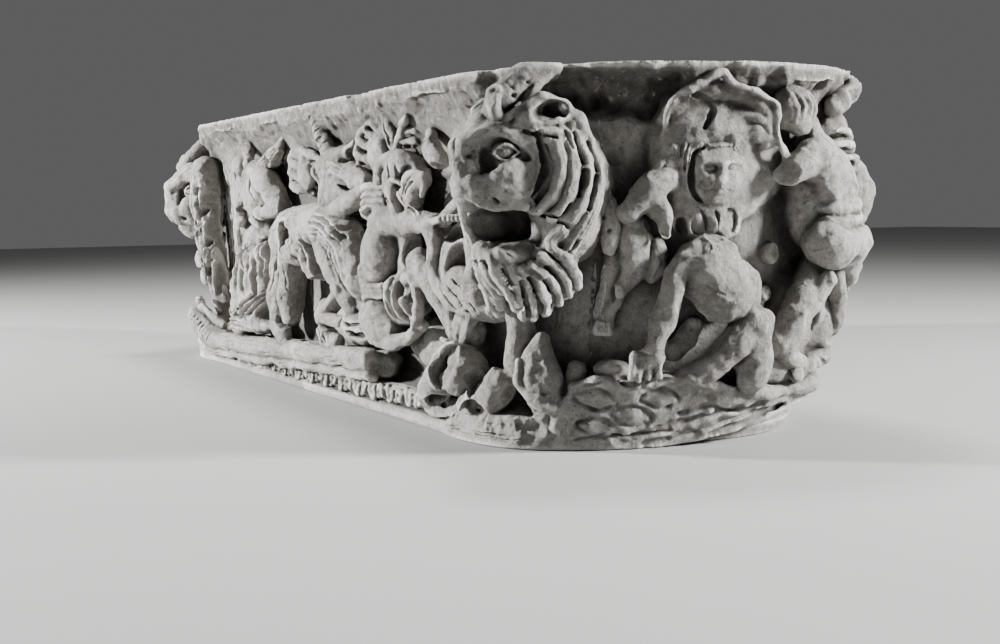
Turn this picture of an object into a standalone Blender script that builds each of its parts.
"""Marble trough sarcophagus with lion heads and a carved frieze, in metres, +Z up.

The long axis is X and the carved front faces -Y. The origin is on the underside, under the
middle of the rim's outline. The relief is placed on the wall by run (distance along the rim's
outline from the middle of the front, positive towards +X), height, and proud (how far it stands
out from the outline, negative inside it).
"""
import math

import bmesh
import bpy
from mathutils import Matrix, Vector

# Driving dimensions
LENGTH = 2.04
WIDTH = 0.66
HEIGHT = 0.55
RIM_THICKNESS = 0.095
FLOOR_THICKNESS = 0.09
GROUND_DEPTH = 0.055        # the frieze's background lies this far inside the outline
BACK_GROUND_DEPTH = 0.022   # the plainer back is cut back less
END_INSET = 0.10            # the foot of each end is drawn in by this much
INSET_HEIGHT = 0.28         # and reaches the outline at this height
CAVITY_TAPER = 0.05         # the hollow narrows by this much on each side towards the floor

END_RADIUS = WIDTH / 2
STRAIGHT = LENGTH / 2 - END_RADIUS
QUARTER_TURN = END_RADIUS * math.pi / 2
HALF_RUN = 2 * (STRAIGHT + QUARTER_TURN)
TIP = STRAIGHT + QUARTER_TURN           # the run at the middle of an end
BACK_CORNER = STRAIGHT + 2 * QUARTER_TURN

STRAIGHT_STEPS = 12
END_STEPS = 16
VOXEL = 0.0085
RELIEF_TRIANGLES = 6900
SHARP_ANGLE = 40
RELIEF_LOW = 0.004
RELIEF_HIGH = HEIGHT - 0.004

MARBLE_COLOUR = (0.66, 0.63, 0.57, 1.0)
MARBLE_ROUGHNESS = 0.7


def clear_scene():
    for item in list(bpy.data.objects):
        bpy.data.objects.remove(item, do_unlink=True)


def new_collection(name):
    collection = bpy.data.collections.new(name)
    bpy.context.scene.collection.children.link(collection)
    return collection


def marble():
    material = bpy.data.materials.new("marble")
    material.use_nodes = True
    shader = material.node_tree.nodes["Principled BSDF"]
    shader.inputs["Base Color"].default_value = MARBLE_COLOUR
    shader.inputs["Roughness"].default_value = MARBLE_ROUGHNESS
    shader.inputs["Metallic"].default_value = 0.0
    return material


def smooth_step(low, high, value):
    share = min(max((value - low) / (high - low), 0.0), 1.0)
    return share * share * (3 - 2 * share)


def end_share(run):
    """1 round the ends, 0 along the straight front and back."""
    run = abs(run)
    rise = smooth_step(STRAIGHT + 0.11, TIP - 0.06, run)
    fall = smooth_step(BACK_CORNER - 0.20, BACK_CORNER + 0.12, run)
    return rise * (1 - fall)


def inset(run, height):
    """How far the wall is drawn in from the rim's outline at the foot of an end."""
    if height >= INSET_HEIGHT:
        return 0.0
    return END_INSET * end_share(run) * (1 - height / INSET_HEIGHT) ** 1.6


def outline(run):
    """The point of the rim's outline at a run, and its outward direction."""
    side = -1.0 if run < 0 else 1.0
    along = abs(run)
    if along <= STRAIGHT:
        return Vector((run, -END_RADIUS, 0)), Vector((0, -1, 0))
    if along <= BACK_CORNER:
        turn = (along - STRAIGHT) / END_RADIUS
        out = Vector((side * math.sin(turn), -math.cos(turn), 0))
        return Vector((side * STRAIGHT, 0, 0)) + out * END_RADIUS, out
    return Vector((side * (HALF_RUN - along), END_RADIUS, 0)), Vector((0, 1, 0))


def wall_point(run, height, proud):
    point, out = outline(run)
    point = point + out * (proud - inset(run, height))
    return Vector((point.x, point.y, height))


def wall_axes(run):
    """Rotation whose axes are along the wall, out of it and up."""
    _, out = outline(run)
    along = Vector((0, 0, 1)).cross(-out)
    return Matrix((along, out, Vector((0, 0, 1)))).transposed()


def back_share(run):
    """0 on the front and the ends, 1 along the plain back."""
    return smooth_step(BACK_CORNER - 0.1, BACK_CORNER + 0.1, abs(run))


def run_steps():
    """Runs of the outline's points, once round, closer together on the round ends."""
    straight = [STRAIGHT * i / STRAIGHT_STEPS for i in range(STRAIGHT_STEPS)]
    end = [STRAIGHT + 2 * QUARTER_TURN * i / END_STEPS for i in range(END_STEPS)]
    back = [BACK_CORNER + STRAIGHT * i / STRAIGHT_STEPS for i in range(STRAIGHT_STEPS + 1)]
    half = straight + end + back
    return half + [-run for run in reversed(half[1:-1])]


def loft(name, rings):
    """A closed solid through rings of equal length, from the lowest to the highest."""
    mesh = bmesh.new()
    rows = [[mesh.verts.new(point) for point in ring] for ring in rings]
    count = len(rows[0])
    for lower, upper in zip(rows, rows[1:]):
        for i in range(count):
            j = (i + 1) % count
            mesh.faces.new((lower[i], lower[j], upper[j], upper[i]))
    mesh.faces.new(list(reversed(rows[0])))
    mesh.faces.new(rows[-1])
    bmesh.ops.recalc_face_normals(mesh, faces=mesh.faces)
    return object_from(name, mesh)


def object_from(name, mesh):
    data = bpy.data.meshes.new(name)
    mesh.to_mesh(data)
    mesh.free()
    item = bpy.data.objects.new(name, data)
    return item


# The wall's profile from the foot to the rim: height and recess as a share of the ground's depth
PROFILE = (
    (0.000, 0.00),
    (0.018, 0.00),
    (0.024, 0.20),
    (0.048, 0.22),
    (0.058, 0.75),
    (0.075, 1.00),
    (0.160, 1.05),
    (0.280, 1.05),
    (0.400, 1.00),
    (0.460, 0.82),
    (0.500, 0.45),
    (0.522, 0.08),
    (HEIGHT, 0.00),
)


def trough():
    """The body: plain foot fillet, sunk ground, and a lip that curves out to the rim."""
    runs = run_steps()
    rings = []
    for height, share in PROFILE:
        ring = []
        for run in runs:
            back = back_share(run)
            depth = GROUND_DEPTH * (1 - back) + BACK_GROUND_DEPTH * back
            ring.append(wall_point(run, height, -share * depth))
        rings.append(ring)
    return loft("sarcophagus", rings)


def cavity_ring(height, margin):
    scale_x = (LENGTH / 2 - margin) / (LENGTH / 2)
    scale_y = (WIDTH / 2 - margin) / (WIDTH / 2)
    ring = []
    for run in run_steps():
        point, _ = outline(run)
        ring.append(Vector((point.x * scale_x, point.y * scale_y, height)))
    return ring


def cavity():
    """The hollow: straight tapering walls and a floor with a rounded edge."""
    foot = RIM_THICKNESS + CAVITY_TAPER
    floor_round = 0.03
    rings = [
        cavity_ring(FLOOR_THICKNESS, foot + floor_round),
        cavity_ring(FLOOR_THICKNESS + floor_round * 0.3, foot + floor_round * 0.3),
        cavity_ring(FLOOR_THICKNESS + floor_round, foot),
        cavity_ring(HEIGHT + 0.02, RIM_THICKNESS),
    ]
    cutter = loft("cavity", rings)
    cutter.display_type = "WIRE"
    cutter.hide_render = True
    return cutter


class Relief:
    """Collects the frieze's rounded forms: masses in one mesh, limbs in one curve."""

    def __init__(self):
        self.mesh = bmesh.new()
        self.ball = self.unit_ball()
        self.curve = bpy.data.curves.new("limbs", "CURVE")
        self.curve.dimensions = "3D"
        self.curve.bevel_depth = 1.0
        self.curve.bevel_resolution = 2
        self.curve.resolution_u = 4
        self.curve.use_fill_caps = True

    @staticmethod
    def unit_ball():
        ball = bmesh.new()
        bmesh.ops.create_uvsphere(ball, u_segments=16, v_segments=10, radius=1.0)
        data = bpy.data.meshes.new("ball")
        ball.to_mesh(data)
        ball.free()
        return data

    def ellipsoid(self, centre, axes, radii):
        scale = Matrix.Diagonal((*radii, 1.0))
        placed = self.ball.copy()
        placed.transform(Matrix.Translation(centre) @ axes.to_4x4() @ scale)
        self.mesh.from_mesh(placed)
        bpy.data.meshes.remove(placed)

    def tube(self, points):
        """A rounded limb through (point, radius) pairs."""
        spline = self.curve.splines.new("BEZIER")
        spline.bezier_points.add(len(points) - 1)
        for knot, (point, radius) in zip(spline.bezier_points, points):
            knot.co = point
            knot.radius = radius
            knot.handle_left_type = "AUTO"
            knot.handle_right_type = "AUTO"
        straight = Matrix.Identity(3)
        for point, radius in (points[0], points[-1]):
            self.ellipsoid(point, straight, (radius, radius, radius))

    def mass(self, run, height, proud, along, up, out, lean=0.0):
        """An ellipsoid on the wall; lean turns it in the wall's plane, in degrees."""
        axes = wall_axes(run) @ Matrix.Rotation(math.radians(lean), 3, "Y")
        self.ellipsoid(wall_point(run, height, proud), axes, (along, out, up))

    def limb(self, *knots):
        """A tapering limb on the wall through (run, height, proud, radius) knots."""
        self.tube([(wall_point(*knot[:3]), knot[3]) for knot in knots])

    def solid(self):
        """One closed mesh round all the forms."""
        limbs = bpy.data.objects.new("limbs", self.curve)
        bpy.context.scene.collection.objects.link(limbs)
        tubes = bpy.data.meshes.new_from_object(limbs.evaluated_get(bpy.context.evaluated_depsgraph_get()))
        self.mesh.from_mesh(tubes)
        bpy.data.objects.remove(limbs, do_unlink=True)
        bmesh.ops.remove_doubles(self.mesh, verts=self.mesh.verts, dist=0.00005)
        return object_from("relief", self.mesh)


def lion_head(relief, side):
    """A lion's head on a front corner: brow, muzzle with open jaws, ears, ruff and long locks."""
    centre = Vector((side * 0.865, -0.295, 0.405))
    forward = Vector((side * 0.10, -1, 0)).normalized()
    outward = Vector((0, 0, 1)).cross(forward) * side
    outward = outward if outward.x * side > 0 else -outward
    up = Vector((0, 0, 1))

    def at(out, front, rise):
        return centre + outward * out + forward * front + up * rise

    axes = Matrix((outward, forward, up)).transposed()

    def form(out, front, rise, radii):
        relief.ellipsoid(at(out, front, rise), axes, radii)

    form(0, 0.005, 0.020, (0.072, 0.075, 0.072))
    form(0, -0.060, -0.010, (0.100, 0.060, 0.105))
    form(0, 0.072, -0.020, (0.036, 0.036, 0.028))
    form(0, 0.045, -0.100, (0.032, 0.034, 0.016))
    relief.tube([(at(0, 0.050, 0.055), 0.026), (at(0, 0.080, 0.012), 0.020), (at(0, 0.092, -0.014), 0.017)])
    for ear in (-1, 1):
        form(ear * 0.040, 0.030, -0.022, (0.036, 0.040, 0.038))
        form(ear * 0.034, 0.058, 0.048, (0.024, 0.018, 0.014))
        form(ear * 0.066, 0.000, 0.080, (0.018, 0.014, 0.024))
    locks = 14
    for i in range(locks):
        angle = math.radians(-120 + 240 * i / (locks - 1))
        root = at(0.072 * math.sin(angle), 0.020, 0.072 * math.cos(angle))
        mid = at(0.100 * math.sin(angle), 0.000, 0.100 * math.cos(angle) - 0.008)
        tip = at(0.112 * math.sin(angle), -0.045, 0.108 * math.cos(angle) - 0.030)
        relief.tube([(root, 0.014), (mid, 0.018), (tip, 0.014)])
    beard = 7
    for i in range(beard):
        sway = -1 + 2 * i / (beard - 1)
        root = at(0.050 * sway, 0.030, -0.105)
        mid = at(0.065 * sway, 0.018, -0.150)
        tip = at(0.080 * sway, -0.010, -0.200 + 0.025 * abs(sway))
        relief.tube([(root, 0.014), (mid, 0.016), (tip, 0.012)])


def couch(relief):
    """The mattress that runs along the front, its turned-up head end, and the wave band below."""
    steps = 5
    left = -0.56
    right = 0.36
    roll = []
    seam = []
    for i in range(steps):
        run = left + (right - left) * i / (steps - 1)
        height = 0.080 + 0.022 * (run - left)
        roll.append((run, height, -0.026, 0.025))
        seam.append((run, height - 0.026, -0.016, 0.013))
    relief.limb(*roll)
    relief.limb(*seam)
    relief.limb((-0.50, 0.085, -0.02, 0.024), (-0.58, 0.100, 0.005, 0.022), (-0.65, 0.118, 0.022, 0.018))
    relief.limb((-0.56, 0.060, -0.01, 0.016), (-0.63, 0.075, 0.012, 0.016), (-0.66, 0.105, 0.022, 0.014))
    waves = 17
    for i in range(waves):
        run = -0.58 + 1.16 * i / (waves - 1)
        height = 0.034 + 0.012 * (run + 0.58)
        relief.mass(run, height, -0.008, 0.026, 0.012, 0.010, lean=35)


def figures_behind(relief):
    """The flatter forms that fill the ground between the seated figures."""
    relief.mass(-0.55, 0.400, -0.040, 0.050, 0.060, 0.030)
    relief.limb((-0.55, 0.345, -0.040, 0.042), (-0.53, 0.230, -0.036, 0.044), (-0.52, 0.140, -0.040, 0.040))
    relief.limb((-0.60, 0.420, -0.040, 0.020), (-0.63, 0.350, -0.036, 0.018), (-0.58, 0.300, -0.020, 0.015))
    relief.mass(0.05, 0.395, -0.050, 0.042, 0.055, 0.024)
    relief.mass(0.08, 0.250, -0.050, 0.060, 0.090, 0.026)
    relief.mass(0.38, 0.235, -0.050, 0.050, 0.080, 0.026)
    relief.mass(0.70, 0.390, -0.055, 0.045, 0.050, 0.022)
    relief.mass(0.50, 0.070, -0.034, 0.080, 0.026, 0.024)


def seated_figures(relief):
    """The row of seated and reclining figures between the lion heads."""
    # First figure: headless torso, both arms bent to the lap, draped knees
    relief.mass(-0.28, 0.415, -0.020, 0.055, 0.062, 0.038)
    relief.mass(-0.27, 0.345, -0.020, 0.058, 0.050, 0.040)
    relief.limb((-0.36, 0.440, -0.025, 0.030), (-0.27, 0.452, -0.030, 0.032), (-0.17, 0.435, -0.025, 0.030))
    relief.limb((-0.17, 0.435, -0.022, 0.026), (-0.13, 0.370, -0.015, 0.022), (-0.22, 0.345, 0.000, 0.018))
    relief.limb((-0.37, 0.435, -0.015, 0.024), (-0.39, 0.385, 0.000, 0.021), (-0.27, 0.345, 0.004, 0.018))
    relief.limb((-0.20, 0.440, -0.045, 0.020), (-0.20, 0.486, -0.032, 0.011))
    relief.limb((-0.36, 0.520, -0.035, 0.014), (-0.33, 0.470, -0.025, 0.013))
    relief.mass(-0.19, 0.285, -0.020, 0.085, 0.040, 0.042)
    relief.limb((-0.22, 0.285, -0.020, 0.044), (-0.29, 0.255, -0.010, 0.038), (-0.32, 0.180, -0.015, 0.034),
                (-0.28, 0.115, -0.018, 0.026))
    relief.limb((-0.14, 0.300, -0.020, 0.044), (-0.03, 0.285, -0.012, 0.040), (0.00, 0.195, -0.020, 0.034),
                (0.02, 0.125, -0.020, 0.026))
    relief.mass(-0.15, 0.190, -0.045, 0.120, 0.085, 0.030)
    relief.mass(-0.08, 0.435, -0.050, 0.032, 0.048, 0.014, lean=10)
    # Second figure: leaning torso with a strut to the rim, one hand on the knee
    relief.mass(0.20, 0.400, -0.022, 0.055, 0.060, 0.038, lean=-12)
    relief.mass(0.19, 0.455, -0.024, 0.030, 0.032, 0.026)
    relief.limb((0.03, 0.530, -0.034, 0.020), (0.08, 0.495, -0.030, 0.017), (0.12, 0.450, -0.034, 0.018))
    relief.limb((0.27, 0.430, -0.025, 0.028), (0.32, 0.390, -0.012, 0.023), (0.36, 0.365, -0.008, 0.018))
    relief.mass(0.23, 0.325, -0.020, 0.070, 0.045, 0.042)
    relief.limb((0.17, 0.320, -0.020, 0.042), (0.22, 0.300, -0.005, 0.040), (0.18, 0.215, -0.015, 0.032),
                (0.16, 0.145, -0.018, 0.024))
    relief.limb((0.27, 0.325, -0.020, 0.042), (0.34, 0.300, -0.008, 0.040), (0.29, 0.215, -0.018, 0.032),
                (0.25, 0.140, -0.018, 0.024))
    relief.mass(0.28, 0.475, -0.050, 0.036, 0.042, 0.012, lean=-15)
    relief.mass(0.41, 0.480, -0.050, 0.042, 0.032, 0.012, lean=30)
    # Third figure: drooping head, hands forward, one great broken knee
    relief.mass(0.43, 0.385, -0.022, 0.058, 0.062, 0.042)
    relief.mass(0.42, 0.448, -0.022, 0.048, 0.028, 0.034, lean=15)
    relief.limb((0.47, 0.410, -0.020, 0.026), (0.53, 0.385, -0.008, 0.022), (0.60, 0.370, -0.015, 0.019))
    relief.limb((0.60, 0.370, -0.020, 0.020), (0.64, 0.335, -0.025, 0.020))
    relief.limb((0.44, 0.320, -0.030, 0.050), (0.51, 0.300, -0.010, 0.050), (0.51, 0.235, -0.014, 0.044))
    relief.mass(0.49, 0.185, -0.025, 0.058, 0.036, 0.034)
    relief.limb((0.52, 0.463, -0.030, 0.014), (0.58, 0.420, -0.050, 0.017))
    relief.limb((0.62, 0.290, -0.030, 0.030), (0.62, 0.205, -0.028, 0.026), (0.585, 0.110, -0.028, 0.024))
    relief.mass(0.69, 0.275, -0.025, 0.075, 0.055, 0.032, lean=-10)


def forms_by_the_lions(relief, side):
    """The draped leg, the broken drum-like lump and the stump below a lion's head."""
    relief.limb((side * 0.82, 0.230, -0.015, 0.032), (side * 0.825, 0.165, -0.020, 0.027),
                (side * 0.815, 0.100, -0.018, 0.024))
    relief.mass(side * 0.765, 0.100, -0.008, 0.048, 0.044, 0.040)
    relief.mass(side * 0.885, 0.110, -0.025, 0.042, 0.052, 0.036, lean=-side * 10)


def ground_strip(relief, side):
    """The rocky ground that rises from the foot moulding round an end."""
    knots = [
        (0.64, 0.030, -0.030, 0.024),
        (0.74, 0.040, -0.026, 0.028),
        (0.86, 0.036, -0.028, 0.028),
        (0.96, 0.058, -0.028, 0.036),
        (1.08, 0.070, -0.020, 0.042),
        (1.22, 0.078, -0.018, 0.044),
        (1.38, 0.090, -0.018, 0.046),
        (1.54, 0.100, -0.020, 0.044),
        (1.68, 0.080, -0.030, 0.036),
    ]
    relief.limb(*[(side * run, height, proud, radius) for run, height, proud, radius in knots])
    lower = [(run, height * 0.35 + 0.006, proud + 0.004, radius * 0.62) for run, height, proud, radius in knots]
    relief.limb(*[(side * run, height, proud, radius) for run, height, proud, radius in lower])


def end_figures(relief, side):
    """The winged children round an end: one flying, one crouching, one seen from behind."""

    def mass(run, height, proud, along, up, out, lean=0.0):
        relief.mass(side * run, height, proud, along, up, out, lean * side)

    def limb(*knots):
        relief.limb(*[(side * run, height, proud, radius) for run, height, proud, radius in knots])

    # Flying child in low relief, with its raised arm and trailing leg
    mass(1.155, 0.405, -0.030, 0.045, 0.055, 0.030)
    mass(1.150, 0.460, -0.030, 0.042, 0.034, 0.028)
    mass(1.080, 0.345, -0.042, 0.060, 0.050, 0.028, lean=-25)
    limb((1.10, 0.395, -0.03, 0.030), (1.04, 0.360, -0.022, 0.030), (0.99, 0.315, -0.030, 0.024))
    limb((1.05, 0.310, -0.045, 0.034), (1.00, 0.260, -0.040, 0.026), (0.965, 0.185, -0.045, 0.016))
    # Cloak that arches over it
    limb((1.06, 0.390, -0.035, 0.018), (1.09, 0.460, -0.015, 0.022), (1.14, 0.505, -0.004, 0.020),
         (1.21, 0.480, -0.004, 0.022), (1.25, 0.410, -0.012, 0.024))
    # Child seen from behind, with a broken head
    mass(1.300, 0.475, -0.022, 0.034, 0.040, 0.028)
    mass(1.325, 0.395, -0.016, 0.050, 0.062, 0.040)
    mass(1.345, 0.295, -0.010, 0.052, 0.048, 0.044)
    limb((1.32, 0.350, -0.02, 0.044), (1.34, 0.310, -0.015, 0.044))
    limb((1.37, 0.420, -0.020, 0.028), (1.45, 0.470, 0.000, 0.024), (1.50, 0.505, 0.010, 0.024))
    limb((1.35, 0.270, -0.012, 0.040), (1.30, 0.215, 0.004, 0.032), (1.24, 0.165, -0.006, 0.024))
    limb((1.40, 0.270, -0.020, 0.036), (1.42, 0.210, -0.010, 0.030), (1.39, 0.150, -0.010, 0.024))
    # Crouching headless child, weight on one straight arm
    mass(1.130, 0.250, -0.008, 0.056, 0.050, 0.042, lean=-20)
    limb((1.09, 0.275, -0.008, 0.026), (1.06, 0.200, 0.006, 0.019), (1.04, 0.128, -0.004, 0.018))
    limb((1.16, 0.245, -0.006, 0.044), (1.20, 0.205, 0.004, 0.040), (1.12, 0.150, 0.018, 0.030))
    limb((1.19, 0.180, 0.012, 0.032), (1.20, 0.105, 0.012, 0.024))
    # Third child behind, towards the back corner
    mass(1.500, 0.375, -0.014, 0.050, 0.055, 0.040)
    mass(1.490, 0.300, -0.016, 0.046, 0.045, 0.038)
    mass(1.520, 0.450, -0.024, 0.034, 0.036, 0.028)
    limb((1.50, 0.270, -0.02, 0.034), (1.53, 0.200, -0.012, 0.028), (1.50, 0.140, -0.016, 0.022))


def relief_solid():
    relief = Relief()
    couch(relief)
    figures_behind(relief)
    seated_figures(relief)
    for side in (-1, 1):
        lion_head(relief, side)
        forms_by_the_lions(relief, side)
        ground_strip(relief, side)
        end_figures(relief, side)
    return relief.solid()


def evaluated_mesh(item):
    graph = bpy.context.evaluated_depsgraph_get()
    return bpy.data.meshes.new_from_object(item.evaluated_get(graph))


def fused(relief):
    """The forms melted into one skin, smoothed and thinned out to the wanted triangle count."""
    remesh = relief.modifiers.new("remesh", "REMESH")
    remesh.mode = "VOXEL"
    remesh.voxel_size = VOXEL
    smooth = relief.modifiers.new("smooth", "SMOOTH")
    smooth.factor = 0.5
    smooth.iterations = 2
    relief.modifiers.new("triangulate", "TRIANGULATE")
    dense = evaluated_mesh(relief)
    relief.modifiers.clear()
    relief.data = dense
    thin = relief.modifiers.new("thin", "DECIMATE")
    thin.ratio = RELIEF_TRIANGLES / len(dense.polygons)
    relief.data = evaluated_mesh(relief)
    relief.modifiers.clear()
    for vertex in relief.data.vertices:
        vertex.co.z = min(max(vertex.co.z, RELIEF_LOW), RELIEF_HIGH)
    return relief


def boolean(item, other, operation):
    step = item.modifiers.new(other.name, "BOOLEAN")
    step.operation = operation
    step.solver = "EXACT"
    step.object = other
    return step


def largest_skin(data):
    """Deletes the small closed pockets left between the relief and the wall."""
    mesh = bmesh.new()
    mesh.from_mesh(data)
    unseen = set(mesh.verts)
    skins = []
    while unseen:
        skin = [unseen.pop()]
        for vertex in skin:
            fresh = [edge.other_vert(vertex) for edge in vertex.link_edges]
            fresh = [other for other in fresh if other in unseen]
            unseen.difference_update(fresh)
            skin.extend(fresh)
        skins.append(skin)
    skins.sort(key=len)
    for skin in skins[:-1]:
        bmesh.ops.delete(mesh, geom=skin, context="VERTS")
    mesh.to_mesh(data)
    mesh.free()


def main():
    clear_scene()
    collection = new_collection("sarcophagus")
    tools = new_collection("cutters")
    body = trough()
    collection.objects.link(body)
    relief = relief_solid()
    tools.objects.link(relief)
    fused(relief)
    relief.display_type = "WIRE"
    relief.hide_render = True
    hollow = cavity()
    tools.objects.link(hollow)
    boolean(body, relief, "UNION")
    boolean(body, hollow, "DIFFERENCE")
    body.data = evaluated_mesh(body)
    body.modifiers.clear()
    largest_skin(body.data)
    body.data.materials.clear()
    body.data.materials.append(marble())
    body.data.set_sharp_from_angle(angle=math.radians(SHARP_ANGLE))


main()
